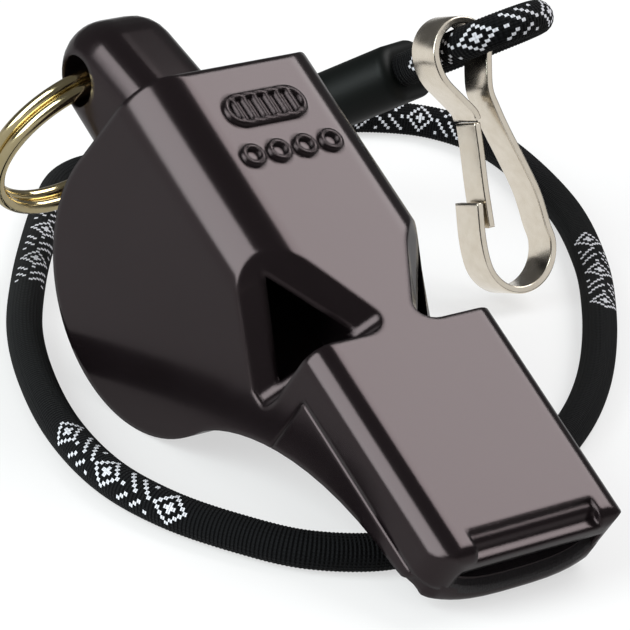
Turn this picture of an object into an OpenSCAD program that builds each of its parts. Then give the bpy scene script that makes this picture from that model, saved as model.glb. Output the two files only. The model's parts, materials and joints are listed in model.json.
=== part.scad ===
// Pealess sports whistle with its split ring, lanyard, crimp sleeve and strap hook.
// The whistle is drawn in its own axes and then laid down on its belly and its lower lip.
// Whistle axes: +X to the mouthpiece, +Y to the far side, +Z out of the flat deck.

/* [Whistle] */
// Width of the whistle across its flat sides
body_w = 17.7; // [16.5:0.1:19]
// Radius of the round belly
belly_r = 11.36; // [11:0.05:12]
// Distance from the rear wall of the deck to the front of the upper lip
deck_len = 44.2; // [43:0.1:46]
// Thickness of the moulded walls
wall = 1.5; // [1.2:0.1:1.8]
// Rounding along the two long edges of the deck
deck_edge_r = 3.5; // [2.5:0.1:4]
// Rounding along the two top edges of the mouthpiece
mouth_edge_r = 1.9; // [1.4:0.1:2.2]

/* [Mouthpiece] */
// Height of the mouthpiece at the lips
mouth_h = 5.1; // [4.8:0.1:5.6]
// Height of the blowing slot between the two lips
slot_h = 2; // [1.6:0.1:2.2]
// Width of the blowing slot
slot_w = 13.6; // [12:0.1:14.2]
// How far the lower lip stands out in front of the upper one
lip_reach = 0.9; // [0.5:0.1:1.2]
// Depth of the tooth groove across the top of the mouthpiece
groove_depth = 0.9; // [0.5:0.05:1]
// Width of the tooth groove along the mouthpiece
groove_run = 2; // [1.6:0.1:2.4]

/* [Windows] */
// Distance from the rear wall to the front face of the side windows
window_x = 25.1; // [24.5:0.1:25.6]
// Rounding in the corner of the side windows
window_r = 1.3; // [0.8:0.1:1.6]
// Distance of the side windows' apex from the middle of the deck
window_in = 0.5; // [0.3:0.1:1]
// Width of the window in the underside
belly_window_w = 6; // [4:0.1:8]

/* [Lug and split ring] */
// Width of the lug behind the body
lug_w = 8.2; // [7:0.1:9]
// Radius of the lug's round end
lug_r = 4.1; // [3.9:0.1:4.4]
// Radius of the hole through the lug
lug_hole_r = 2; // [1.9:0.05:2.1]
// Radius of the middle line of the split ring
ring_r = 7.6; // [7.2:0.1:8]
// Diameter of the wire of the split ring
ring_wire = 1.05; // [0.9:0.05:1.15]

/* [Lanyard] */
// Diameter of the woven cord
cord_d = 2.8; // [2.4:0.1:2.8]
// Length of the crimp sleeve
sleeve_len = 10; // [9:0.5:10.5]
// Wall of the crimp sleeve
sleeve_wall = 0.95; // [0.7:0.05:1.1]
// Width of the hook's steel strip
strip_w = 3.1; // [2.8:0.1:3.3]
// Thickness of the hook's steel strip
strip_t = 0.6; // [0.4:0.05:0.7]

/* [Hidden] */

fine = 96;
soft = 32;
arc_steps = 8;
over = 0.5;
seat_gap = 0.05;

// Points of an arc round a centre, from angle a to angle b
function arc_points(c, r, a, b, n = arc_steps) =
    [for (i = [0:n]) c + r * [cos(a + (b - a) * i / n), sin(a + (b - a) * i / n)]];
function mix(p, q, t) = p + (q - p) * t;
// Points of a cubic curve from p to s, steered by q and r
function curve_points(p, q, r, s, n) =
    [for (i = [0:n]) let (t = i / n)
        mix(mix(mix(p, q, t), mix(q, r, t), t), mix(mix(q, r, t), mix(r, s, t), t), t)];

// Side view: the belly's centre, the lip's lowest round and the curve between them
belly_c = [0.9375 * belly_r, -1.005 * belly_r];
belly_end_a = -20;
lip_r = 0.9;
lip_c = [deck_len - lip_r, -mouth_h + lip_r];
deck_front_r = 1.1;
rear_r = 0.8;
under_start = belly_c + belly_r * [cos(belly_end_a), sin(belly_end_a)];
under_end = [lip_c.x, -mouth_h];
under_run_share = 0.62;
under_lean_share = 0.06;
under_rise_share = 0.3;
under_steer_a = [mix(under_start.x, under_end.x, under_lean_share),
                 mix(under_start.y, under_end.y, under_rise_share)];
under_steer_b = [mix(under_end.x, under_start.x, under_run_share), under_end.y];
under_curve = curve_points(under_end, under_steer_b, under_steer_a, under_start, 2 * arc_steps);

module side_outline() {
    union() {
        translate(belly_c) circle(r = belly_r, $fn = 2 * fine);
        polygon(concat(
            [belly_c - [belly_r, 0]],
            arc_points([rear_r, -rear_r], rear_r, 180, 90),
            arc_points([deck_len - deck_front_r, -deck_front_r], deck_front_r, 90, 0),
            arc_points(lip_c, lip_r, 0, -90),
            under_curve,
            [belly_c]));
    }
}

// A slab of an outline in X and Z, w wide and centred on the whistle's middle plane
module slab(w) {
    translate([0, w / 2, 0]) rotate([90, 0, 0]) linear_extrude(w) children();
}

body_h = 2.05 * belly_r;

// A bar along X whose two top edges are rounded with radius r
module rounded_bar(x0, x1, r) {
    translate([x0, 0, 0]) rotate([90, 0, 90]) linear_extrude(x1 - x0) union() {
        translate([-body_w / 2, -body_h]) square([body_w, body_h - r]);
        translate([r - body_w / 2, -body_h]) square([body_w - 2 * r, body_h]);
        for (side = [-1, 1]) translate([side * (body_w / 2 - r), -r]) circle(r = r, $fn = fine);
    }
}

// Plan view that rounds the two front corners of the mouthpiece
corner_r = 2.2;
module plan_form(front) {
    translate([0, 0, -body_h]) linear_extrude(body_h + over) union() {
        translate([-belly_r, -body_w / 2]) square([front - corner_r + belly_r, body_w]);
        translate([0, corner_r - body_w / 2]) square([front, body_w - 2 * corner_r]);
        for (side = [-1, 1]) translate([front - corner_r, side * (body_w / 2 - corner_r)])
            circle(r = corner_r, $fn = fine);
    }
}

module outer_form() {
    intersection() {
        slab(body_w) side_outline();
        union() {
            rounded_bar(-belly_r, window_x, deck_edge_r);
            rounded_bar(window_x, deck_len + over, mouth_edge_r);
        }
        plan_form(deck_len);
    }
}

// A side window is a slanting wedge with a round corner, open outwards and upwards
window_lean = 41.3;
window_a = 62.2;
window_c = [-window_r, window_r / tan(window_a / 2)];
window_reach = 2 * belly_r;
module side_window() {
    translate([window_x, -window_in, 0]) rotate([180 - window_lean, 0, 0])
        translate([0, 0, -belly_r]) linear_extrude(window_reach) polygon(concat(
            arc_points(window_c, window_r, 0, window_a - 180),
            [window_reach * [-sin(window_a), cos(window_a)], [0, window_reach]]));
}

// Two upper chambers side by side and one lower chamber in the belly
rib_t = 1.2;
floor_z = -0.82 * belly_r;
chamber_back_x = wall + rear_r;
module chambers() {
    intersection() {
        slab(body_w - 2 * wall) offset_outline();
        union() {
            for (side = [-1, 1]) scale_side(side)
                translate([chamber_back_x, rib_t / 2, floor_z + wall])
                    cube([window_x - wall - chamber_back_x, body_w / 2, -floor_z - 2.2 * wall]);
            translate([0, -body_w / 2, -body_h])
                cube([window_x - wall, body_w, body_h + floor_z]);
        }
    }
}
module scale_side(side) {
    if (side < 0) mirror([0, 1, 0]) children();
    else children();
}
// The side outline drawn in by the wall
module offset_outline() {
    union() {
        translate(belly_c) circle(r = belly_r - wall, $fn = 2 * fine);
        translate([chamber_back_x, belly_c.y]) square([window_x - wall - chamber_back_x, -belly_c.y]);
    }
}

// The seam runs up behind the mouthpiece and then along under the blowing slot
seam_x = 27.1;
seam_z = -4;
duct_back_x = window_x - wall;
slot_top_z = seam_z + slot_h;
slot_back_x = seam_x + 2 * wall;
duct_w = 4.2;
duct_h = 1.2;
belly_window_x = 22.6;

module blowing_slot() {
    translate([slot_back_x, -slot_w / 2, seam_z - over])
        cube([deck_len + lip_reach + over - slot_back_x, slot_w, slot_h + over]);
}
// One duct to the face of each side window
module side_ducts() {
    for (side = [-1, 1]) scale_side(side)
        translate([duct_back_x, slot_w / 2 - duct_w, seam_z + wall / 2])
            cube([slot_back_x + over - duct_back_x, duct_w, duct_h]);
}
module belly_window() {
    translate([belly_window_x, -belly_window_w / 2, -body_h])
        cube([seam_x + over - belly_window_x, belly_window_w, body_h + seam_z - 2 * wall]);
}
module tooth_groove() {
    groove_w = body_w - 4 * corner_r / 1.5;
    round_r = groove_depth;
    slab(groove_w) polygon(concat(
        arc_points([deck_len - groove_run + round_r, 0], round_r, 180, 270),
        [[deck_len + over, -groove_depth], [deck_len + over, over], [deck_len - groove_run, over]]));
}
// Everything in front of the seam and below it belongs to the welded floor
module floor_region(gap) {
    translate([seam_x - gap, -body_w, -body_h])
        cube([deck_len, 2 * body_w, body_h + seam_z + gap]);
}

// Round-edged disc across the lug, as a revolved outline
lug_edge_r = 2.9;
module lug_disc(r) {
    rotate([90, 0, 0]) rotate_extrude($fn = soft) intersection() {
        union() {
            translate([r - lug_edge_r, lug_w / 2 - lug_edge_r]) circle(r = lug_edge_r, $fn = soft);
            translate([r - lug_edge_r, lug_edge_r - lug_w / 2]) circle(r = lug_edge_r, $fn = soft);
            translate([0, -lug_w / 2]) square([r - lug_edge_r, lug_w]);
            translate([0, lug_edge_r - lug_w / 2]) square([r, lug_w - 2 * lug_edge_r]);
        }
        translate([0, -lug_w]) square([2 * r, 2 * lug_w]);
    }
}
lug_c = [-0.705 * belly_r, -0.96 * belly_r];
lug_hole = [-0.73 * belly_r, -1.01 * belly_r];
lug_root_r = 5.3;
lug_root = [lug_root_r, -0.87 * belly_r];
module lug() {
    hull() {
        translate([lug_c.x, 0, lug_c.y]) lug_disc(lug_r);
        translate([lug_root.x, 0, lug_root.y]) lug_disc(lug_root_r);
    }
}
module lug_hole_cut() {
    translate([lug_hole.x, lug_w, lug_hole.y]) rotate([90, 0, 0])
        cylinder(r = lug_hole_r, h = 2 * lug_w, $fn = fine);
}

// Grip bars moulded on the deck: a round-ended frame with bars, and a row of round studs
grip_h = 0.35;
grip_x = 4.6;
grip_w = 7.4;
grip_len = 2.8;
grip_rim = 0.35;
grip_bars = 6;
stud_x = 8.6;
stud_r = 0.95;
studs = 4;
module round_ended(len, w, h) {
    translate([0, 0, -over]) linear_extrude(h + over) union() {
        translate([-len / 2, len / 2 - w / 2]) square([len, w - len]);
        for (side = [-1, 1]) translate([0, side * (w - len) / 2]) circle(d = len, $fn = soft);
    }
}
module grip() {
    translate([grip_x, 0, 0]) {
        difference() {
            round_ended(grip_len, grip_w, grip_h);
            translate([0, 0, 0])
                linear_extrude(2 * grip_h) union() {
                    inner = grip_len - 2 * grip_rim;
                    translate([-inner / 2, (grip_len - grip_w) / 2]) square([inner, grip_w - grip_len]);
                    for (side = [-1, 1]) translate([0, side * (grip_w - grip_len) / 2])
                        circle(d = inner, $fn = soft);
                }
        }
        for (i = [0:grip_bars - 1])
            translate([-grip_len / 2 + grip_rim / 2, (i - (grip_bars - 1) / 2) * grip_rim * 3, -over])
                translate([0, -grip_rim / 2, 0]) cube([grip_len - grip_rim, grip_rim, over + grip_h]);
    }
    for (i = [0:studs - 1])
        translate([stud_x, (i - (studs - 1) / 2) * 2.6 * stud_r, -over]) difference() {
            cylinder(r = stud_r, h = over + grip_h, $fn = soft);
            translate([0, 0, over]) cylinder(r = stud_r - grip_rim, h = grip_h + over, $fn = soft);
        }
}

module shell_in_whistle_axes() {
    difference() {
        union() {
            outer_form();
            lug();
            grip();
        }
        chambers();
        for (side = [-1, 1]) scale_side(-side) side_window();
        blowing_slot();
        side_ducts();
        belly_window();
        tooth_groove();
        floor_region(seat_gap);
        lug_hole_cut();
    }
}

// Welded floor of the mouthpiece with the middle duct and the lower lip
floor_lip_r = 0.8;
floor_lip_w = body_w - 1.4;
module floor_in_whistle_axes() {
    difference() {
        union() {
            intersection() {
                outer_form();
                floor_region(0);
            }
            intersection() {
                slab(floor_lip_w) polygon(concat(
                    arc_points([deck_len + lip_reach - floor_lip_r, -mouth_h], floor_lip_r, 60, -90),
                    [[deck_len - 4 * floor_lip_r, -mouth_h - floor_lip_r / 2],
                     [deck_len - 4 * floor_lip_r, seam_z],
                     [deck_len - floor_lip_r, seam_z]]));
                plan_form(deck_len + lip_reach);
            }
        }
        slab(belly_window_w - wall) polygon([
            [slot_back_x + 2 * wall, seam_z + over], [seam_x + wall, seam_z + over],
            [seam_x - over, seam_z - 1.5 * wall], [seam_x - over, seam_z - 2.3 * wall],
            [seam_x + wall, seam_z - 2.1 * wall]]);
    }
}

// How the whistle lies: the line that touches the belly and the lower lip is the ground
touch_lip = [deck_len + lip_reach - floor_lip_r, -mouth_h];
touch_run = touch_lip - belly_c;
pitch = asin((belly_r - floor_lip_r) / norm(touch_run)) + atan2(touch_run.y, touch_run.x);
// Place of a point of the side view once the whistle lies down, before it is centred
function laid(p) = [p.x * cos(pitch) + p.y * sin(pitch), p.y * cos(pitch) - p.x * sin(pitch)];
// The split ring hangs from the lug and leans back by ring_lean below the level
ring_lean = 63;
ring_slack = 0.25;
ring_in_hole = ring_r - ring_slack;
ring_c = laid(lug_hole) - ring_in_hole * [cos(ring_lean), sin(ring_lean)];
back_end = ring_c.x - ring_r * cos(ring_lean) - ring_wire / 2 * (1 + sin(ring_lean));
front_end = laid([deck_len - deck_front_r, -deck_front_r]).x + deck_front_r;
rest_shift = [-(back_end + front_end) / 2, belly_r - laid(belly_c).y];

module lay_down() {
    translate([rest_shift.x, 0, rest_shift.y]) rotate([0, pitch, 0]) children();
}

module body_shell() {
    color("#2b2427") lay_down() shell_in_whistle_axes();
}
module mouthpiece_floor() {
    color("#332c2e") lay_down() floor_in_whistle_axes();
}

// Skin of a tube or bar: rings of points joined by faces, closed at both ends
module skin(rings) {
    n = len(rings[0]);
    last = len(rings) - 1;
    polyhedron(
        points = [for (r = rings) each r],
        faces = concat(
            [[for (k = [n - 1:-1:0]) k]],
            [for (i = [0:last - 1], k = [0:n - 1]) let (m = (k + 1) % n)
                each [[i * n + k, i * n + m, (i + 1) * n + m], [i * n + k, (i + 1) * n + m, (i + 1) * n + k]]],
            [[for (k = [0:n - 1]) last * n + k]]));
}

// Split ring: nearly two turns of wire side by side. The wire crosses from one side to the
// other in one place, between its two ends, which is turned away from the lug by ring_turn
ring_turn = 82;
ring_steps = 44;
ring_sides = 10;
cross_a = 30;
function ring_side(t) = t < 360 - cross_a ? -1 : t > 360 + cross_a ? 1
    : sin((t - 360) / cross_a * 90);
ring_pitch = ring_wire / 2 + 0.02;
ring_end_a = cross_a + 14;
module split_ring() {
    color("#c8a85a")
        translate([rest_shift.x + ring_c.x, 0, rest_shift.y + ring_c.y]) rotate([0, 90 - ring_lean, 0])
            skin([for (i = [0:ring_steps])
                let (t = ring_end_a + (720 - 2 * ring_end_a) * i / ring_steps, turn = t + ring_turn)
                [for (k = [0:ring_sides - 1])
                    let (a = 360 * k / ring_sides, r = ring_r + ring_wire / 2 * cos(a))
                    [ring_side(t) * ring_pitch + ring_wire / 2 * sin(a), r * sin(turn), r * cos(turn)]]]);
}

// Cords: a smooth curve through hand-set points, swept with a round of cord_sides corners
cord_sides = 8;
function smooth(p0, p1, p2, p3, t) = 0.5 * (2 * p1 + (p2 - p0) * t
    + (2 * p0 - 5 * p1 + 4 * p2 - p3) * t * t + (3 * p1 - p0 - 3 * p2 + p3) * t * t * t);
function through(pts, n) = let (m = len(pts) - 1)
    concat([for (i = [0:m - 1], k = [0:n - 1])
        smooth(i > 0 ? pts[i - 1] : 2 * pts[0] - pts[1], pts[i], pts[i + 1],
            i < m - 1 ? pts[i + 2] : 2 * pts[m] - pts[m - 1], k / n)], [pts[m]]);
function unit(v) = v / norm(v);
function heading(path, i) = unit(path[min(i + 1, len(path) - 1)] - path[max(i - 1, 0)]);
function turned(side, dir) = unit(side - (side * dir) * dir);
function side_list(path, i, side) = i >= len(path) ? []
    : let (s = turned(side, heading(path, i))) concat([s], side_list(path, i + 1, s));
module cord(path, start_side) {
    sides = side_list(path, 0, start_side);
    skin([for (i = [0:len(path) - 1]) let (d = heading(path, i), s = sides[i], b = cross(d, s))
        [for (k = [0:cord_sides - 1]) let (a = 360 * k / cord_sides)
            path[i] + cord_d / 2 * (cos(a) * s + sin(a) * b)]]);
}

// Frame of the crimp sleeve: Y runs along it and up to the right, X joins its two bores.
// Turns about X, Y and Z, in that order of the axes
sleeve_turn = [36.5, -9, -64.6];
// Right-hand end of the sleeve, before the part is centred
sleeve_end = [-13.5, 31.4, 15.7];
bore_gap = 0.1;
bore_web = 0.2;
bore_shift = (cord_d + bore_web) / 2 + bore_gap;
// A frame turned about Y first, then about X, then about Z
module turned_by(t) {
    rotate([0, 0, t.z]) rotate([t.x, 0, 0]) rotate([0, t.y, 0]) children();
}
// The X, Y and Z axes of that frame
function turned_x(t) = [cos(t.y) * cos(t.z) - sin(t.y) * sin(t.x) * sin(t.z),
    cos(t.y) * sin(t.z) + sin(t.y) * sin(t.x) * cos(t.z), -sin(t.y) * cos(t.x)];
function turned_y(t) = [-cos(t.x) * sin(t.z), cos(t.x) * cos(t.z), sin(t.x)];
function turned_z(t) = cross(turned_x(t), turned_y(t));
across = turned_x(sleeve_turn);
along = turned_y(sleeve_turn);
function from_sleeve(u, v) = sleeve_end + u * along + v * across;

// Route of the neck loop in millimetres, from the middle of the sleeve and back to it
neck_route = [
    [-22.5, 25.4, 8.2], [-24.7, 24.2, 6.2], [-26.8, 23, 4.3], [-29.2, 21.6, 2.6], [-31.8, 19.2, 1.5],
    [-33, 15.6, 1.4], [-31.8, 11.9, 1.4], [-28.6, 8.2, 1.4], [-24.3, 3.9, 1.4], [-17.7, -2.2, 1.4],
    [-10.4, -8.1, 1.4], [-3, -12.5, 1.4], [4.7, -15.8, 1.4], [11.9, -17.3, 1.4], [17.9, -16.6, 1.4],
    [23.1, -14.3, 1.4], [27.2, -11.3, 1.4], [29.8, -6.4, 1.4], [29.6, -1, 1.4], [28.2, 4, 1.4],
    [25.6, 11.2, 1.4], [22.2, 18, 1.4], [18.2, 24.2, 1.4], [13, 30.4, 1.4], [6, 37.2, 1.4],
    [-1.7, 43.4, 1.4], [-11.3, 49, 1.4], [-22.5, 52.3, 1.4], [-29, 51, 1.4], [-32.8, 46.3, 1.4],
    [-34.4, 40, 1.4], [-35.2, 34, 1.4], [-34.8, 29.2, 1.4], [-32.6, 26.3, 1.7], [-29.6, 25.6, 3.2],
    [-26, 27.1, 5.8], [-23.7, 28.3, 7.7]];
// Route of the small loop along and across the sleeve, through the hook's eye and back
loop_route = [[1.5, 1.75], [3.3, 2.35], [5.8, 3.25], [8.2, 3.9], [10.3, 3.4], [11.5, 1.6],
              [11.7, -0.6], [10.7, -2.7], [8.6, -3.9], [6.1, -3.9], [3.8, -2.9], [1.6, -1.9]];
loop_eye_point = 2;

cord_meet = sleeve_len / 2;
neck_path = through(concat(
    [from_sleeve(-cord_meet, bore_shift), from_sleeve(-sleeve_len, bore_shift)], neck_route,
    [from_sleeve(-sleeve_len, -bore_shift), from_sleeve(-cord_meet, -bore_shift)]), 1);
loop_path = through(concat(
    [from_sleeve(-cord_meet, bore_shift), from_sleeve(0, bore_shift)],
    [for (p = loop_route) from_sleeve(p[0], p[1])],
    [from_sleeve(0, -bore_shift), from_sleeve(-cord_meet, -bore_shift)]), 2);

module neck_cord() {
    color("#15141a") translate([rest_shift.x, 0, 0]) cord(neck_path, [0, 0, 1]);
}
module hook_loop() {
    color("#15141a") translate([rest_shift.x, 0, 0]) cord(loop_path, [0, 0, 1]);
}

// Oval sleeve pressed on the two strands, with a bore for each
sleeve_r = cord_d / 2 + bore_gap + sleeve_wall;
module crimp_sleeve() {
    color("#1c1d1f") translate([rest_shift.x, 0, 0]) translate(sleeve_end) turned_by(sleeve_turn) rotate([90, 0, 0])
        linear_extrude(sleeve_len) difference() {
            union() {
                translate([-bore_shift, -sleeve_r]) square([2 * bore_shift, 2 * sleeve_r]);
                for (side = [-1, 1]) translate([side * bore_shift, 0]) circle(r = sleeve_r, $fn = fine);
            }
            for (side = [-1, 1]) translate([side * bore_shift, 0]) circle(r = cord_d / 2 + bore_gap, $fn = fine);
        }
}

// The hook is bent from one steel strip. Its own axes: Y across the strip, Z up the hook,
// with the middle of the eye at zero
hook_turn = [-23, -6, 84];
eye_r = 2.6;
// Room left over the cord, which runs through the eye at a slant
eye_gap = 0.6;
eye_hang = eye_r - strip_t / 2 - cord_d / 2 - eye_gap;
hook_eye = from_sleeve(loop_route[loop_eye_point][0], loop_route[loop_eye_point][1])
    - eye_hang * turned_z(hook_turn);
bow_r = 3.35;
bow_c = [2.1, -16.4];
hook_mouth_z = -12;
strap_route = concat(
    [[0.3, -5.5], [0.1, -4.8], [-0.9, -3.5], [-2.1, -1.9]],
    arc_points([0, 0], eye_r, 190, -25),
    [[2, -3.3], [2.3, -4.8], [2.9, -6.8], [4.1, -9.6], [5.1, -12.4]],
    arc_points(bow_c, bow_r, 22, -170),
    [[-1.3, -14.9], [-1, hook_mouth_z]]);
gate_route = [[0.3, -5.75], [0.2, -8], [0, -11], [-0.1, -14.2]];
gate_width_share = 0.85;

// Outline of a strip of thickness t whose middle follows the points
function beside(path, i, d) = let (
    h = unit(path[min(i + 1, len(path) - 1)] - path[max(i - 1, 0)])) path[i] + d * [-h.y, h.x];
module strip_along(path, w) {
    n = len(path) - 1;
    translate([0, w / 2, 0]) rotate([90, 0, 0]) linear_extrude(w) polygon(concat(
        [for (i = [0:n]) beside(path, i, strip_t / 2)],
        [for (i = [n:-1:0]) beside(path, i, -strip_t / 2)]));
}
module hook_place() {
    translate([rest_shift.x, 0, 0] + hook_eye) turned_by(hook_turn) children();
}
module strap_hook() {
    color("#b9b1a0") hook_place() strip_along(through(strap_route, 3), strip_w);
}
// Spring tongue that closes the hook's mouth from inside
module hook_gate() {
    color("#b9b1a0") hook_place() strip_along(through(gate_route, 3), gate_width_share * strip_w);
}

body_shell();
mouthpiece_floor();
split_ring();
neck_cord();
hook_loop();
crimp_sleeve();
strap_hook();
hook_gate();
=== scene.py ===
import json
import math

import bmesh
import bpy
from mathutils import Matrix, Vector


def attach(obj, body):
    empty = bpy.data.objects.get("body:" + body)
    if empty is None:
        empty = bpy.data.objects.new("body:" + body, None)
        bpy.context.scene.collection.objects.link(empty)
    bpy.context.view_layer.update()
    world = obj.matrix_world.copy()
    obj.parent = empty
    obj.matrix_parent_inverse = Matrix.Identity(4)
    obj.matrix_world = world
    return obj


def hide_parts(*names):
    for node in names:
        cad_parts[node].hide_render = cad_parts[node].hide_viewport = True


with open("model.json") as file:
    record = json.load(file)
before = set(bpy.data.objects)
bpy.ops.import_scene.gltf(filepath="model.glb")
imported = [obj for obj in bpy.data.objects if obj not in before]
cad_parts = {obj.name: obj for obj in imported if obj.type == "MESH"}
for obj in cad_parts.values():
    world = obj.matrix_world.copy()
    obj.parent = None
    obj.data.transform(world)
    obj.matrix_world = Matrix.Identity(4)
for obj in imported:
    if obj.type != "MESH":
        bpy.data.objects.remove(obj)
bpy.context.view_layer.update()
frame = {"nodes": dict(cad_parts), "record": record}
nodes = frame["nodes"]

# The camera looks down a little from in front of the mouthpiece, as it did for the photograph,
# and is turned a little about its own axis. Lens and shift give the photograph's square frame.
MM = 0.001
scene = bpy.context.scene
scene.view_settings.view_transform = "Standard"
camera_place = Vector((229.83, -215.91, 151.64)) * MM
camera_target = Vector((6.71, 0.0, 13.40)) * MM
camera_roll = math.radians(8.463)
camera_data = bpy.data.cameras.new("camera")
camera_data.lens = 268.0
camera_data.sensor_width = 36.0
camera_data.shift_x = -0.0504
camera_data.shift_y = -0.0185
camera_data.clip_start = 0.01
camera = bpy.data.objects.new("camera", camera_data)
scene.collection.objects.link(camera)
aim = (camera_target - camera_place).to_track_quat("-Z", "Y").to_matrix().to_4x4()
camera.matrix_world = Matrix.Translation(camera_place) @ aim @ Matrix.Rotation(camera_roll, 4, "Z")
scene.camera = camera
to_camera = (camera_place - camera_target).normalized()

# The lanyard is one limp woven polyester cord, 2.8 mm thick. Its neck loop comes out of the
# crimp sleeve, drops behind the whistle to the table, runs round under the mouthpiece and
# comes back. Beyond the sleeve the same cord makes a small loop that carries the hook.
cord_diameter = 2.8 * MM
# The routes' own zero lies this far along x from the middle of the whistle, in mm
part_shift = -8.931481
sleeve_end = Vector((-13.5, 31.4, 15.7))
sleeve_turn = (36.5, -9.0, -64.6)
sleeve_length = 10.0
bore_shift = 1.6


def turned_by(turn):
    # The frame that is turned about Y, then about X, then about Z
    x, y, z = (math.radians(a) for a in turn)
    return Matrix.Rotation(z, 3, "Z") @ Matrix.Rotation(x, 3, "X") @ Matrix.Rotation(y, 3, "Y")


sleeve_frame = turned_by(sleeve_turn)


def from_sleeve(u, v):
    # A point u along the sleeve's axis from its end, and v across it
    return sleeve_end + u * sleeve_frame.col[1] + v * sleeve_frame.col[0]


neck_route = [
    (-22.5, 25.4, 8.2), (-24.7, 24.2, 6.2), (-26.8, 23, 4.3), (-29.2, 21.6, 2.6),
    (-31.8, 19.2, 1.5), (-33, 15.6, 1.4), (-31.8, 11.9, 1.4), (-28.6, 8.2, 1.4),
    (-24.3, 3.9, 1.4), (-17.7, -2.2, 1.4), (-10.4, -8.1, 1.4), (-3, -12.5, 1.4),
    (4.7, -15.8, 1.4), (11.9, -17.3, 1.4), (17.9, -16.6, 1.4), (23.1, -14.3, 1.4),
    (27.2, -11.3, 1.4), (29.8, -6.4, 1.4), (29.6, -1, 1.4), (28.2, 4, 1.4),
    (25.6, 11.2, 1.4), (22.2, 18, 1.4), (18.2, 24.2, 1.4), (13, 30.4, 1.4),
    (6, 37.2, 1.4), (-1.7, 43.4, 1.4), (-11.3, 49, 1.4), (-22.5, 52.3, 1.4),
    (-29, 51, 1.4), (-32.8, 46.3, 1.4), (-34.4, 40, 1.4), (-35.2, 34, 1.4),
    (-34.8, 29.2, 1.4), (-32.6, 26.3, 1.7), (-29.6, 25.6, 3.2), (-26, 27.1, 5.8),
    (-23.7, 28.3, 7.7),
]
loop_route = [
    (1.5, 1.75), (3.3, 2.35), (5.8, 3.25), (8.2, 3.9), (10.3, 3.4), (11.5, 1.6),
    (11.7, -0.6), (10.7, -2.7), (8.6, -3.9), (6.1, -3.9), (3.8, -2.9), (1.6, -1.9),
]
sleeve_middle = -sleeve_length / 2
neck_points = [
    from_sleeve(sleeve_middle, bore_shift), from_sleeve(-sleeve_length, bore_shift),
    *(Vector(p) for p in neck_route),
    from_sleeve(-sleeve_length, -bore_shift), from_sleeve(sleeve_middle, -bore_shift),
]
loop_points = [
    from_sleeve(sleeve_middle, bore_shift), from_sleeve(0, bore_shift),
    *(from_sleeve(u, v) for u, v in loop_route),
    from_sleeve(0, -bore_shift), from_sleeve(sleeve_middle, -bore_shift),
]


def smooth_path(points, step):
    # Points about a step apart along a smooth curve through the route, and the curve's length
    steps_between = 24
    fine = []
    last = len(points) - 1
    for i in range(last):
        p1, p2 = points[i], points[i + 1]
        p0 = points[i - 1] if i > 0 else 2 * p1 - p2
        p3 = points[i + 2] if i + 2 <= last else 2 * p2 - p1
        for t in (k / steps_between for k in range(steps_between)):
            linear_part = 2 * p1 + (p2 - p0) * t
            square_part = (2 * p0 - 5 * p1 + 4 * p2 - p3) * t**2
            cubic_part = (3 * p1 - p0 - 3 * p2 + p3) * t**3
            fine.append(0.5 * (linear_part + square_part + cubic_part))
    fine.append(points[-1])
    lengths = [0.0]
    for a, b in zip(fine, fine[1:]):
        lengths.append(lengths[-1] + (b - a).length)
    count = max(2, round(lengths[-1] / step))
    even, j = [], 0
    for goal in (lengths[-1] * i / count for i in range(count + 1)):
        while j < len(fine) - 2 and lengths[j + 1] < goal:
            j += 1
        span = lengths[j + 1] - lengths[j]
        even.append(fine[j].lerp(fine[j + 1], (goal - lengths[j]) / span if span else 0.0))
    return even, lengths[-1]


def sweep(path, radii, facing, start=0.0, sides=20):
    # A closed tube along the path, with the radii taken in turn. In its UV map u is the way
    # along in metres from start on, and v the turn round it, from the side that faces as given.
    # That side twists back slowly after each bend, as a cord's does
    pull = 0.03
    bm = bmesh.new()
    rings = []
    side = None
    for i, point in enumerate(path):
        heading = (path[min(i + 1, len(path) - 1)] - path[max(i - 1, 0)]).normalized()
        wanted = facing if side is None else side + pull * facing
        side = (wanted - wanted.dot(heading) * heading).normalized()
        turn = Matrix((side.cross(heading), side, heading)).transposed().to_4x4()
        place = Matrix.Translation(point) @ turn
        radius = radii[i % len(radii)]
        circle = bmesh.ops.create_circle(bm, segments=sides, radius=radius, cap_ends=False, matrix=place)
        rings.append(circle["verts"])
    uv = bm.loops.layers.uv.new("cord")
    far = start
    for i in range(len(rings) - 1):
        near, far = far, far + (path[i + 1] - path[i]).length
        for k in range(sides):
            m = (k + 1) % sides
            face = bm.faces.new((rings[i][k], rings[i][m], rings[i + 1][m], rings[i + 1][k]))
            face.smooth = True
            for loop, spot in zip(face.loops, ((near, k), (near, k + 1), (far, k + 1), (far, k))):
                loop[uv].uv = (spot[0], spot[1] / sides)
    for ring in (rings[0][::-1], rings[-1]):
        bm.faces.new(ring)
    bmesh.ops.recalc_face_normals(bm, faces=bm.faces)
    return bm


def add_piece(name, bm, material, body):
    # Links a finished mesh, gives it its material and lets it ride on a body
    mesh = bpy.data.meshes.new(name)
    bm.to_mesh(mesh)
    bm.free()
    mesh.materials.append(material)
    piece = bpy.data.objects.new(name, mesh)
    scene.collection.objects.link(piece)
    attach(piece, body)
    return piece


def linear(hex_colour):
    # sRGB hex to the linear values that shaders use
    values = [int(hex_colour[i : i + 2], 16) / 255 for i in (1, 3, 5)]
    return [v / 12.92 if v <= 0.04045 else ((v + 0.055) / 1.055) ** 2.4 for v in values] + [1.0]


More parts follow.
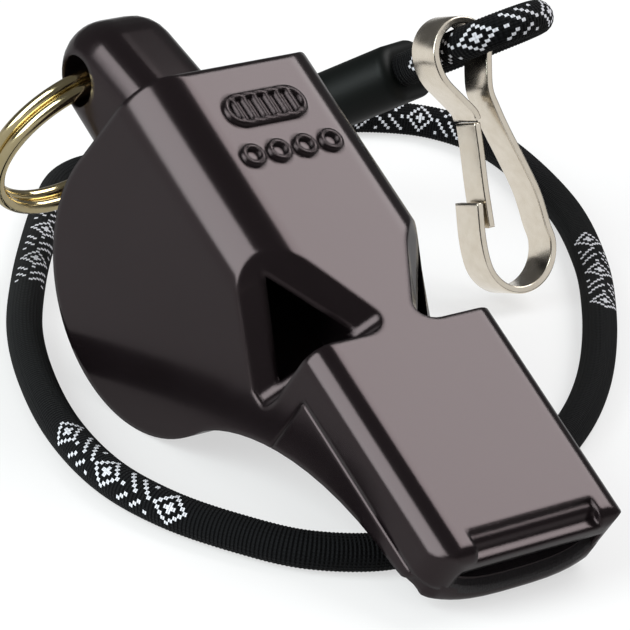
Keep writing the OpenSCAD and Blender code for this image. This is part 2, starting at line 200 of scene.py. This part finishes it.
def node(tree, kind, settings=None, links=None):
    # One shader node with its settings. Links maps an input to a value, to another node's
    # output, or to a node, which then gives its first output
    made = tree.nodes.new("ShaderNode" + kind)
    for key, value in (settings or {}).items():
        setattr(made, key, value)
    for key, value in (links or {}).items():
        if isinstance(value, bpy.types.Node):
            value = value.outputs[0]
        if isinstance(value, bpy.types.NodeSocket):
            tree.links.new(value, made.inputs[key])
        else:
            made.inputs[key].default_value = value
    return made


def new_material(name):
    # A material without any nodes yet, and its tree
    material = bpy.data.materials.new(name)
    material.use_nodes = True
    material.node_tree.nodes.clear()
    return material, material.node_tree


# Woven polyester is dull, with a faint sheen on its ribs. Its black is painted darker in the
# rib hollows and lighter on the rib crowns, as painted shade and painted highlight. White picks
# in the weave make rows of five small plain figures, diamonds and chevrons, with a stretch of
# bare black between rows.
pick = 0.3 * MM
picks_round = 30
figure_pitch = 10
figure_middle = 4.0
figure_reach = 4.2
diamond_reach = 4.0
dot_reach = 1.5
chevron_pitch = 4.0
half_step = 0.5
row_of_figures = 5
row_and_gap = 13
weave, tree = new_material("woven polyester, black with white figures")
place = node(tree, "UVMap", {"uv_map": "cord"})
split = node(tree, "SeparateXYZ", links={0: place})
picks_in = node(tree, "Math", {"operation": "DIVIDE"}, {0: split.outputs[0], 1: pick})
pick_along = node(tree, "Math", {"operation": "FLOOR"}, {0: picks_in})
turn_in_picks = node(tree, "Math", {"operation": "MULTIPLY"}, {0: split.outputs[1], 1: picks_round})
pick_round = node(tree, "Math", {"operation": "ROUND"}, {0: turn_in_picks})
off_centre = node(tree, "Math", {"operation": "PINGPONG"}, {0: pick_round, 1: picks_round / 2})
cells_in = node(tree, "Math", {"operation": "DIVIDE"}, {0: pick_along, 1: figure_pitch})
cell = node(tree, "Math", {"operation": "FLOOR"}, {0: cells_in})
pick_of_cell = node(tree, "Math", {"operation": "FLOORED_MODULO"}, {0: pick_along, 1: figure_pitch})
in_cell = node(tree, "Math", {"operation": "SUBTRACT"}, {0: pick_of_cell, 1: figure_middle})
from_middle = node(tree, "Math", {"operation": "ABSOLUTE"}, {0: in_cell})
reach = node(tree, "Math", {"operation": "MAXIMUM"}, {0: from_middle, 1: off_centre})
inside = node(tree, "Math", {"operation": "LESS_THAN"}, {0: reach, 1: figure_reach})
steps_out = node(tree, "Math", {"operation": "ADD"}, {0: from_middle, 1: off_centre})
rim = node(tree, "Math", {"operation": "COMPARE"}, {0: steps_out, 1: diamond_reach, 2: half_step})
dot = node(tree, "Math", {"operation": "LESS_THAN"}, {0: steps_out, 1: dot_reach})
diamond = node(tree, "Math", {"operation": "MAXIMUM"}, {0: rim, 1: dot})
slant = node(tree, "Math", {"operation": "ADD"}, {0: in_cell, 1: off_centre})
stripe = node(tree, "Math", {"operation": "FLOORED_MODULO"}, {0: slant, 1: chevron_pitch})
chevron = node(tree, "Math", {"operation": "COMPARE"}, {0: stripe, 1: 0.0, 2: half_step})
odd = node(tree, "Math", {"operation": "FLOORED_MODULO"}, {0: cell, 1: 2.0})
figure = node(tree, "Mix", links={0: odd, 2: diamond, 3: chevron})
cell_of_row = node(tree, "Math", {"operation": "FLOORED_MODULO"}, {0: cell, 1: row_and_gap})
in_row = node(tree, "Math", {"operation": "LESS_THAN"}, {0: cell_of_row, 1: row_of_figures - half_step})
whole_figure = node(tree, "Math", {"operation": "MULTIPLY"}, {0: figure, 1: inside})
white_pick = node(tree, "Math", {"operation": "MULTIPLY"}, {0: whole_figure, 1: in_row})
rib_turn = node(tree, "Math", {"operation": "MULTIPLY"}, {0: split.outputs[0], 1: 2 * math.pi / pick})
rib = node(tree, "Math", {"operation": "SINE"}, {0: rib_turn})
rib_part = node(tree, "Math", {"operation": "MULTIPLY"}, {0: rib, 1: 0.7})
thread_turn = node(
    tree, "Math", {"operation": "MULTIPLY"}, {0: split.outputs[1], 1: 2 * math.pi * picks_round}
)
thread = node(tree, "Math", {"operation": "SINE"}, {0: thread_turn})
thread_part = node(tree, "Math", {"operation": "MULTIPLY"}, {0: thread, 1: 0.3})
height = node(tree, "Math", {"operation": "ADD"}, {0: rib_part, 1: thread_part})
bump = node(tree, "Bump", links={"Strength": 0.9, "Distance": 0.1 * MM, "Height": height})
# Painted shade and painted highlight: the black thread colour is multiplied by 0.35 in the hollows of
# ribs and threads and by 1.25 on their crowns, following the bump height
shade = node(
    tree, "MapRange",
    links={"Value": height, "From Min": -1.0, "From Max": 1.0, "To Min": 0.35, "To Max": 1.25},
)
black_with_painted_rib_shade_and_highlight = node(
    tree, "Mix", {"data_type": "RGBA", "blend_type": "MULTIPLY"},
    {0: 1.0, 6: linear("#09090c"), 7: shade},
)
colour = node(
    tree, "Mix", {"data_type": "RGBA"},
    {0: white_pick, 6: black_with_painted_rib_shade_and_highlight.outputs[2], 7: linear("#dcdce2")},
)
cloth = node(
    tree, "BsdfPrincipled",
    links={
        "Base Color": colour.outputs[2], "Roughness": 0.8, "Normal": bump,
        "Specular IOR Level": 0.16, "Sheen Weight": 0.02, "Sheen Roughness": 0.4,
    },
)
node(tree, "OutputMaterial", links={"Surface": cloth})

neck_start = 1.7 * MM
loop_start = -7 * MM
rib_depth = 0.05 * MM
rib_radii = (cord_diameter / 2, cord_diameter / 2 - rib_depth)


def lay_cord(points):
    # The cord's path in metres and its length, with a ring on each rib and one between ribs
    return smooth_path([p * MM + Vector((part_shift * MM, 0, 0)) for p in points], pick / 2)


neck_path, neck_length = lay_cord(neck_points)
neck_tube = sweep(neck_path, rib_radii, to_camera, neck_start)
neck_cord = add_piece("woven_neck_cord", neck_tube, weave, "whistle")
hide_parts("neck_cord")
loop_path, loop_length = lay_cord(loop_points)
loop_tube = sweep(loop_path, rib_radii, to_camera, loop_start)
hook_loop = add_piece("woven_hook_loop", loop_tube, weave, "whistle")
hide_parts("hook_loop")

# The whistle's shell is one ABS moulding with deck, sides, belly and lug, in a black that is
# warm and a little purple. The tool was polished, so the gloss is deep, with soft mould edges.
# It keeps the faces of its solid, but for rounder long edges and a tooth groove in two steps.
flow_mark = 9 * MM
mould_ripple = 1.3 * MM
mould_edge = 0.6 * MM
moulded, tree = new_material("polished moulded ABS, warm black")
place = node(tree, "TexCoord")
flow = node(
    tree, "TexNoise", links={"Vector": place.outputs["Object"], "Scale": 1 / flow_mark, "Detail": 2.0}
)
ripple = node(
    tree, "TexNoise", links={"Vector": place.outputs["Object"], "Scale": 1 / mould_ripple, "Detail": 1.0}
)
gloss = node(tree, "MapRange", links={"Value": flow, "To Min": 0.13, "To Max": 0.21})
tint = node(
    tree, "Mix", {"data_type": "RGBA"}, {0: flow, 6: linear("#0f0b0c"), 7: linear("#151012")}
)
soft_edge = node(tree, "Bevel", {"samples": 8}, {"Radius": mould_edge})
skin = node(
    tree, "Bump",
    links={"Strength": 0.25, "Distance": 0.01 * MM, "Height": ripple, "Normal": soft_edge},
)
plastic = node(
    tree, "BsdfPrincipled",
    links={
        "Base Color": tint.outputs[2], "Roughness": gloss, "Normal": skin, "IOR": 1.53,
        "Specular Tint": linear("#ffe6e9"),
    },
)
node(tree, "OutputMaterial", links={"Surface": plastic})

# The whistle's own axes, in mm, run along the deck from its rear edge and up from the deck. It
# lies pitched down on its belly and lower lip
lie_pitch = math.radians(28.5966)
lie_shift = Vector((part_shift, 0, 26.481593))
lying = Matrix.Translation(lie_shift * MM) @ Matrix.Rotation(lie_pitch, 4, "Y")
whistle_axes = lying @ Matrix.Scale(MM, 4)
half_width = 8.85
solid_round, deck_round = 3.5, 4.1
window_line = 25.1
groove_end, groove_round, groove_half_width = 42.2, 0.9, 5.95
# Points of the stepped groove: the share of the solid's quarter turn, the way forward, the depth
groove_steps = (
    (0, 0, 0), (0.14, 0, 0.26), (0.24, 0.1, 0.3), (0.55, 0.65, 0.32), (0.75, 0.95, 0.62), (1, 1.1, 0.9),
)
arc_slack, line_slack, turn_slack = 0.03, 0.01, 0.001
shell_solid = nodes["body_shell"]
bm = bmesh.new()
bm.from_mesh(shell_solid.data)
to_whistle = whistle_axes.inverted() @ shell_solid.matrix_world
bmesh.ops.transform(bm, matrix=to_whistle, verts=bm.verts)
for vert in bm.verts:
    x, y, z = vert.co
    side = math.copysign(1.0, y)
    past = Vector((abs(y) - (half_width - solid_round), z + solid_round))
    on_edge = x < window_line + line_slack and min(past) > -line_slack
    if on_edge and abs(past.length - solid_round) < arc_slack:
        past *= deck_round / past.length
        vert.co = (x, side * (half_width - deck_round + past.x), past.y - deck_round)
    fall = Vector((x - groove_end - groove_round, z))
    in_groove = abs(y) < groove_half_width and max(fall) < line_slack
    if in_groove and abs(fall.length - groove_round) < arc_slack:
        turned = math.atan2(-fall.y, -fall.x) / (math.pi / 2)
        for (t0, run0, depth0), (t1, run1, depth1) in zip(groove_steps, groove_steps[1:]):
            if t0 - turn_slack <= turned <= t1 + turn_slack:
                part = (turned - t0) / (t1 - t0)
                run = run0 + part * (run1 - run0)
                vert.co = (groove_end + run, y, -depth0 - part * (depth1 - depth0))
bmesh.ops.transform(bm, matrix=whistle_axes, verts=bm.verts)
shell = add_piece("moulded_body_shell", bm, moulded, "whistle")
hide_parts("body_shell")

# The floor is a second moulding of the same ABS, welded under the shell. Its lower lip is bowed
# in plan and rises to both ends, where the slot narrows. Spark erosion left a fine dull grain
# inside the lip, drawn coarser than it is so that it shows.
lip_back, lip_run = 41.0, 3.3
lip_half_width = 8.15
lip_underside = -5.3
floor_side = 8.2
lip_set_back, lip_bow = 0.2, 0.9
lip_lift, lip_smile, slot_closing = 0.1, 0.65, 1.3
along_cuts = (41.8, 42.6, 43.3, 44.0, 44.6)
across_cuts = (0, 1.5, 3, 4.2, 5.2, 6, 6.8, 7.5)
hard_edge = math.radians(32)
grain_back = lip_back - 2
grain_half_width = floor_side - 0.6
grain_slope = 0.4
floor_solid = nodes["mouthpiece_floor"]
bm = bmesh.new()
bm.from_mesh(floor_solid.data)
to_whistle = whistle_axes.inverted() @ floor_solid.matrix_world
bmesh.ops.transform(bm, matrix=to_whistle, verts=bm.verts)
bmesh.ops.remove_doubles(bm, verts=bm.verts, dist=1e-4)
cuts = [((x, 0, 0), (1, 0, 0)) for x in along_cuts]
cuts += [((0, s * y, 0), (0, 1, 0)) for y in across_cuts for s in (-1, 1)]
for point, normal in cuts:
    everything = bm.verts[:] + bm.edges[:] + bm.faces[:]
    bmesh.ops.bisect_plane(bm, geom=everything, plane_co=point, plane_no=normal, dist=1e-3)
for vert in bm.verts:
    x, y, z = vert.co
    forward = min(1.0, max(0.0, (x - lip_back) / lip_run))
    forward = forward * forward * (3 - 2 * forward)
    out = min(1.0, abs(y) / lip_half_width)
    top = min(1.0, max(0.0, z - lip_underside))
    lift = lip_lift + lip_smile * out**3 + slot_closing * out**4 * top
    if abs(y) > floor_side:
        lift *= 1 - top
    vert.co.x -= forward * (lip_set_back + lip_bow * out**3)
    vert.co.z += forward * lift
bm.normal_update()
for edge in bm.edges:
    edge.smooth = edge.calc_face_angle(0.0) < hard_edge
for face in bm.faces:
    face.smooth = True
    spot = face.calc_center_median()
    on_lip = spot.x > grain_back and abs(spot.y) < grain_half_width
    face.material_index = int(on_lip and face.normal.z > grain_slope)
bmesh.ops.transform(bm, matrix=whistle_axes, verts=bm.verts)
erosion_pit = 0.16 * MM
grained, tree = new_material("spark-eroded ABS, warm black")
place = node(tree, "TexCoord")
pits = node(
    tree, "TexNoise", links={"Vector": place.outputs["Object"], "Scale": 1 / erosion_pit, "Detail": 2.0}
)
skin = node(tree, "Bump", links={"Strength": 0.8, "Distance": 0.06 * MM, "Height": pits})
tint = node(
    tree, "Mix", {"data_type": "RGBA"}, {0: pits, 6: linear("#0f0b0c"), 7: linear("#2a2528")}
)
plastic = node(
    tree, "BsdfPrincipled", links={"Base Color": tint.outputs[2], "Roughness": 0.38, "Normal": skin}
)
node(tree, "OutputMaterial", links={"Surface": plastic})
mouth_floor = add_piece("moulded_mouthpiece_floor", bm, moulded, "whistle")
mouth_floor.data.materials.append(grained)
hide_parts("mouthpiece_floor")

# The split ring is nearly two turns of brass-plated spring wire, side by side. The wire crosses
# over in one place, between its two cut ends. The polished plate mirrors the room, pale gold,
# with faint rub marks.
hole_to_ring = 7.35
ring_radius = 7.6
ring_wire = 1.05
turn_gap = 0.04
ring_lean = math.radians(63)
ring_turn = math.radians(82)
crossing = math.radians(30)
wire_end = crossing + math.radians(14)
ring_steps = 360
joints = {joint["name"]: joint for joint in frame["record"]["behaviour"]["joints"]}
lug_hole = Vector(joints["ring_swing"]["pos_m"]) / MM
hang = Vector((math.cos(ring_lean), 0, math.sin(ring_lean)))
ring_centre = lug_hole - hole_to_ring * hang
ring_frame = Matrix.Rotation(math.pi / 2 - ring_lean, 3, "Y")
ring_pitch = (ring_wire + turn_gap) / 2
ring_path = []
wire_run = 4 * math.pi - 2 * wire_end
for t in (wire_end + wire_run * i / ring_steps for i in range(ring_steps + 1)):
    past = max(-1.0, min(1.0, (t - 2 * math.pi) / crossing))
    side = math.sin(past * math.pi / 2)
    turn = t + ring_turn
    local = Vector((side * ring_pitch, ring_radius * math.sin(turn), ring_radius * math.cos(turn)))
    ring_path.append((ring_centre + ring_frame @ local) * MM)
rub_mark = 0.6 * MM
brass, tree = new_material("brass plate, polished")
place = node(tree, "TexCoord")
grain = node(
    tree, "TexNoise", links={"Vector": place.outputs["Object"], "Scale": 1 / rub_mark, "Detail": 3.0}
)
rub = node(tree, "MapRange", links={"Value": grain, "To Min": 0.08, "To Max": 0.18})
shade = node(
    tree, "Mix", {"data_type": "RGBA"}, {0: grain, 6: linear("#d6c492"), 7: linear("#e6d7ae")}
)
metal = node(
    tree, "BsdfPrincipled", links={"Base Color": shade.outputs[2], "Roughness": rub, "Metallic": 1.0}
)
node(tree, "OutputMaterial", links={"Surface": metal})
ring_tube = sweep(ring_path, (ring_wire / 2 * MM,), Vector((1, 0, 0)))
brass_ring = add_piece("brass_split_ring", ring_tube, brass, "ring")
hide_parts("split_ring")

# The crimp sleeve is a short oval plastic moulding pressed on the two strands, with rounded
# rims. Its tool was not polished, so it is satin, black with a trace of green. The neck loop
# ends in it.
sleeve_outer = 2.45
sleeve_sides = 64
rim_round, rim_steps = 0.9, 6
bm = bmesh.new()
outline = bmesh.ops.create_circle(bm, segments=sleeve_sides, radius=sleeve_outer, cap_ends=True)
for vert in outline["verts"]:
    vert.co.x += bore_shift if vert.co.x > 0 else -bore_shift
pulled = bmesh.ops.extrude_face_region(bm, geom=bm.faces[:])["geom"]
far_end = [v for v in pulled if isinstance(v, bmesh.types.BMVert)]
bmesh.ops.translate(bm, vec=(0, 0, sleeve_length), verts=far_end)
bmesh.ops.recalc_face_normals(bm, faces=bm.faces)
rims = [e for e in bm.edges if abs(e.verts[0].co.z - e.verts[1].co.z) < 1e-6]
bmesh.ops.bevel(
    bm, geom=rims, offset=rim_round, segments=rim_steps, profile=0.5, affect="EDGES", material=-1
)
upright = Matrix.Rotation(math.pi / 2, 4, "X")
sleeve_place = Matrix.Translation(sleeve_end + Vector((part_shift, 0, 0))) @ sleeve_frame.to_4x4()
bmesh.ops.transform(bm, matrix=Matrix.Scale(MM, 4) @ sleeve_place @ upright, verts=bm.verts)
for face in bm.faces:
    face.smooth = True
mould_mottle = 0.35 * MM
satin, tree = new_material("satin moulded sleeve, green-black")
place = node(tree, "TexCoord")
mottle = node(
    tree, "TexNoise", links={"Vector": place.outputs["Object"], "Scale": 1 / mould_mottle, "Detail": 3.0}
)
tint = node(
    tree, "Mix", {"data_type": "RGBA"}, {0: mottle, 6: linear("#050807"), 7: linear("#0a0e0c")}
)
skin = node(tree, "Bump", links={"Strength": 0.3, "Distance": 0.03 * MM, "Height": mottle})
plastic = node(
    tree, "BsdfPrincipled",
    links={
        "Base Color": tint.outputs[2], "Roughness": 0.5, "Normal": skin, "Specular IOR Level": 0.22,
    },
)
node(tree, "OutputMaterial", links={"Surface": plastic})
sleeve = add_piece("moulded_crimp_sleeve", bm, satin, "whistle")
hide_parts("crimp_sleeve")

# The strap hook is bent from one strip of nickel-plated spring steel: an eye round the small
# loop, two legs and a bow. A spring tongue of the same strip closes its mouth from inside. The
# plate shines softly and warm, with the faint waves that rolling leaves.
strip_width = 3.1
strip_thick = 0.6
strip_edge, edge_steps = 0.13, 3
strip_step = 0.25
tongue_share = 0.85
eye_radius = 2.6
eye_hang = 0.3
bow_radius = 3.35
bow_centre = Vector((2.1, -16.4))
hook_frame = turned_by((-23.0, -6.0, 84.0))
eye_on_loop = from_sleeve(*loop_route[2]) + Vector((part_shift, 0, 0))
hook_eye = eye_on_loop - eye_hang * hook_frame.col[2]


def arc(centre, radius, start, end, steps=8):
    # Points of an arc in the plane of the hook, from one angle to the other in degrees
    turns = (math.radians(start + (end - start) * i / steps) for i in range(steps + 1))
    return [centre + radius * Vector((math.cos(a), math.sin(a))) for a in turns]


def strip(route, width):
    # A strip with rounded edges whose middle follows the route in the plane of the hook. Its two
    # long side faces stay flat
    path, _ = smooth_path([Vector((x, 0, z)) for x, z in route], strip_step)
    bm = bmesh.new()
    outline = []
    there = range(len(path))
    for offset, order in ((strip_thick / 2, there), (-strip_thick / 2, reversed(there))):
        for i in order:
            heading = (path[min(i + 1, len(path) - 1)] - path[max(i - 1, 0)]).normalized()
            outline.append(bm.verts.new(path[i] + offset * Vector((-heading.z, 0, heading.x))))
    for vert in outline:
        vert.co.y = -width / 2
    face = bm.faces.new(outline)
    pulled = bmesh.ops.extrude_face_region(bm, geom=[face])["geom"]
    far_side = [v for v in pulled if isinstance(v, bmesh.types.BMVert)]
    bmesh.ops.translate(bm, vec=(0, width, 0), verts=far_side)
    bmesh.ops.recalc_face_normals(bm, faces=bm.faces)
    edges = [e for e in bm.edges if abs(e.verts[0].co.y - e.verts[1].co.y) < 1e-6]
    bmesh.ops.bevel(
        bm, geom=edges, offset=strip_edge, segments=edge_steps, profile=0.5, affect="EDGES",
        material=-1,
    )
    for face in bm.faces:
        face.smooth = len(face.verts) < 5
    hook_place = Matrix.Scale(MM, 4) @ Matrix.Translation(hook_eye) @ hook_frame.to_4x4()
    bmesh.ops.transform(bm, matrix=hook_place, verts=bm.verts)
    return bm


strap_route = [
    *(Vector(p) for p in ((0.3, -5.5), (0.1, -4.8), (-0.9, -3.5), (-2.1, -1.9))),
    *arc(Vector((0, 0)), eye_radius, 190, -25),
    *(Vector(p) for p in ((2, -3.3), (2.3, -4.8), (2.9, -6.8), (3.9, -9.6), (4.8, -12.4))),
    *arc(bow_centre, bow_radius, 22, -170),
    *(Vector(p) for p in ((-1.3, -14.9), (-1, -12))),
]
tongue_route = [Vector(p) for p in ((0.3, -5.75), (0.2, -8), (0, -11), (-0.1, -14.2))]
rolling_wave = 0.9 * MM
nickel, tree = new_material("nickel plate on rolled steel strip")
place = node(tree, "TexCoord")
rolled = node(
    tree, "TexNoise", links={"Vector": place.outputs["Object"], "Scale": 1 / rolling_wave, "Detail": 4.0}
)
rub = node(tree, "MapRange", links={"Value": rolled, "To Min": 0.16, "To Max": 0.3})
shade = node(
    tree, "Mix", {"data_type": "RGBA"}, {0: rolled, 6: linear("#c2b8a8"), 7: linear("#d8d1c4")}
)
wave = node(tree, "Bump", links={"Strength": 0.3, "Distance": 0.02 * MM, "Height": rolled})
metal = node(
    tree, "BsdfPrincipled",
    links={"Base Color": shade.outputs[2], "Roughness": rub, "Metallic": 1.0, "Normal": wave},
)
node(tree, "OutputMaterial", links={"Surface": metal})
strap = strip(strap_route, strip_width)
hook = add_piece("nickel_strap_hook", strap, nickel, "hook")
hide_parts("strap_hook")
tongue = strip(tongue_route, tongue_share * strip_width)
gate = add_piece("nickel_spring_tongue", tongue, nickel, "gate")
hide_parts("hook_gate")

# The table and the room behind it are plain white. Seen by the camera they are the picture's
# white ground, and the table keeps the shadows. Gloss on the pieces mirrors them darker.
table_reach = 3.0
bm = bmesh.new()
bmesh.ops.create_grid(bm, x_segments=1, y_segments=1, size=table_reach)
table_mesh = bpy.data.meshes.new("table")
bm.to_mesh(table_mesh)
bm.free()
table = bpy.data.objects.new("table", table_mesh)
scene.collection.objects.link(table)
table_white, tree = new_material("matt white table")
rays = node(tree, "LightPath")
seen = rays.outputs["Is Camera Ray"]
mirrored = rays.outputs["Is Glossy Ray"]
seen_share = node(tree, "Math", {"operation": "MULTIPLY"}, {0: seen, 1: 0.6})
mirrored_share = node(tree, "Math", {"operation": "MULTIPLY"}, {0: mirrored, 1: 0.9})
glow_share = node(tree, "Math", {"operation": "ADD"}, {0: seen_share, 1: mirrored_share})
glow_level = node(tree, "MapRange", links={"Value": seen, "To Min": 0.36, "To Max": 1.0})
paper = node(tree, "BsdfPrincipled", links={"Base Color": linear("#f4f4f4"), "Roughness": 0.9})
glow = node(tree, "Emission", links={"Color": linear("#ffffff"), "Strength": glow_level})
surface = node(tree, "MixShader", links={0: glow_share, 1: paper, 2: glow})
node(tree, "OutputMaterial", links={"Surface": surface})
table_mesh.materials.append(table_white)

world = bpy.data.worlds.new("studio")
scene.world = world
world.use_nodes = True
tree = world.node_tree
tree.nodes.clear()
rays = node(tree, "LightPath")
plain_level = node(tree, "Mix", links={0: rays.outputs["Is Glossy Ray"], 2: 0.55, 3: 0.1})
white_ground = node(
    tree, "Math", {"operation": "MAXIMUM"},
    {0: rays.outputs["Is Camera Ray"], 1: rays.outputs["Is Transmission Ray"]},
)
strength = node(tree, "Mix", links={0: white_ground, 2: plain_level, 3: 1.0})
room = node(tree, "Background", links={"Color": linear("#ffffff"), "Strength": strength})
node(tree, "OutputWorld", links={"Surface": room})


def soft_box(name, place, target, size, watts, colour=(1.0, 1.0, 1.0), lit=()):
    # An area lamp that the camera does not see, placed in metres. With lit it shines on those
    # pieces only
    light = bpy.data.lights.new(name, "AREA")
    light.shape = "RECTANGLE"
    light.size, light.size_y = size
    light.energy = watts
    light.color = colour
    lamp = bpy.data.objects.new(name, light)
    scene.collection.objects.link(lamp)
    lamp.location = place
    lamp.rotation_euler = (Vector(target) - Vector(place)).to_track_quat("-Z", "Y").to_euler()
    lamp.visible_camera = False
    if lit:
        lit_only = bpy.data.collections.new("lit by " + name)
        for piece in lit:
            lit_only.objects.link(piece)
        lamp.light_linking.receiver_collection = lit_only


# One large soft box hangs behind and above, and its reflection brightens the deck; a cooler one
# stands at the near side of the whistle. Three large cards shine on the bare metal of the hook
# and its tongue only, which would mirror too dark a room without them.
whistle_middle = (0.01, 0.0, 0.02)
soft_box("back box", (0.003, 0.318, 0.41), whistle_middle, (0.30, 0.30), 1.28)
soft_box("near box", (-0.05, -0.30, 0.15), whistle_middle, (0.25, 0.34), 1.5, (0.91, 1.0, 1.0))
bare_metal = (hook, gate)
soft_box("low card", (-0.12, -0.08, 0.0001), (-0.12, -0.08, 1.0), (0.4, 0.4), 0.32, lit=bare_metal)
soft_box("top card", (-0.02, 0.03, 0.45), (-0.02, 0.03, 0.0), (1.2, 1.2), 3.2, lit=bare_metal)
soft_box("right card", (0.35, 0.16, 0.12), (-0.01, 0.03, 0.01), (0.6, 0.3), 0.45, lit=bare_metal)
